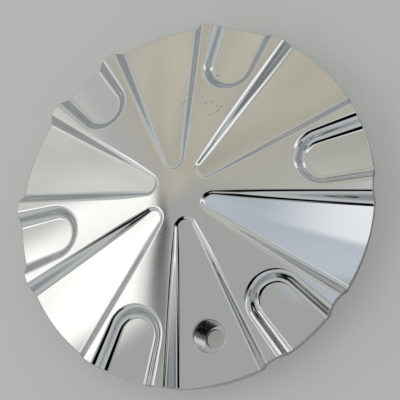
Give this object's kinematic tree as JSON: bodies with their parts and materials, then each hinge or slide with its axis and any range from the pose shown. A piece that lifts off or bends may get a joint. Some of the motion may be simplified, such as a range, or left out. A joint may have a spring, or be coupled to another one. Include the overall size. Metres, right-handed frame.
{
  "type": "wheel center cap",
  "caption": "Round wheel center cap, a thin chrome-plated moulding with a star of raised arms, sunk wedges, U-shaped rim pockets, a sunk screw hole and a rear spigot.",
  "frame": {"origin": "on the cap's axis, in the plane of the spigot's end, where the cap rests face up", "axes": "+Z along the cap's axis towards the front face; the screw hole lies towards -Y"},
  "size_m": [0.18, 0.18, 0.0269],
  "materials": {
    "chrome_plated_abs": "mirror-bright chrome plate on moulded ABS"
  },
  "bodies": {
    "root": {"cap_shell": "chrome_plated_abs"}
  },
  "joints": []
}
